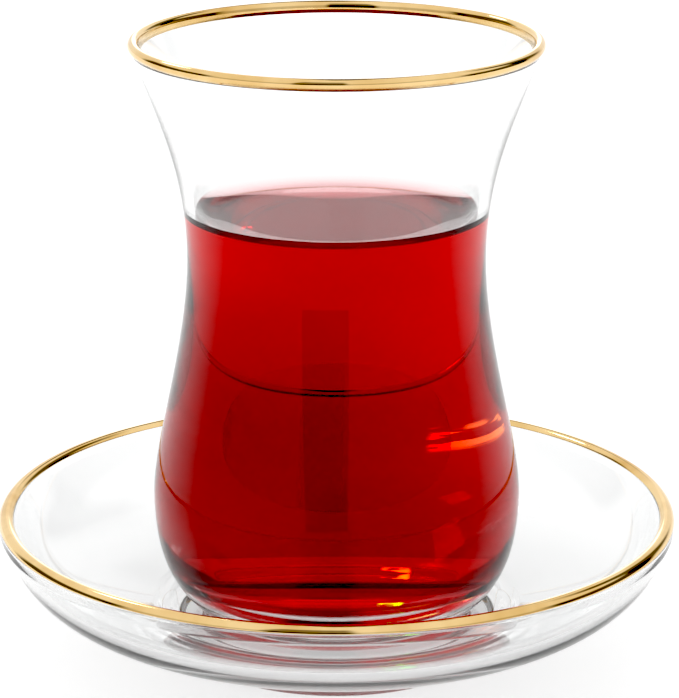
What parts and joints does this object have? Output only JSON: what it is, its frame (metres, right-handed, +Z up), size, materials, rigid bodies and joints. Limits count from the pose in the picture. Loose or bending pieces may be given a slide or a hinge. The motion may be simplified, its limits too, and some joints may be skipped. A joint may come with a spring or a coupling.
{
  "type": "turkish tea glass",
  "caption": "Waisted clear glass of red tea with a gilt rim, standing on a round clear glass saucer with a gilt lip and a low foot ring.",
  "frame": {"origin": "on the table, under the middle of the saucer's foot ring", "axes": "+Z up along the axis of the glass and saucer"},
  "size_m": [0.1058, 0.1058, 0.0969],
  "materials": {
    "saucer_glass": "clear polished pressed glass",
    "saucer_gilt": "polished gilding fired on the lip",
    "clear_glass": "clear fire-polished glass",
    "rim_gilt": "polished gilding fired on the rim",
    "red_tea": "clear red tea"
  },
  "bodies": {
    "root": {"saucer": "saucer_glass", "saucer_gilt_rim": "saucer_gilt", "tea_glass": "clear_glass", "glass_gilt_rim": "rim_gilt", "tea": "red_tea"}
  },
  "joints": []
}
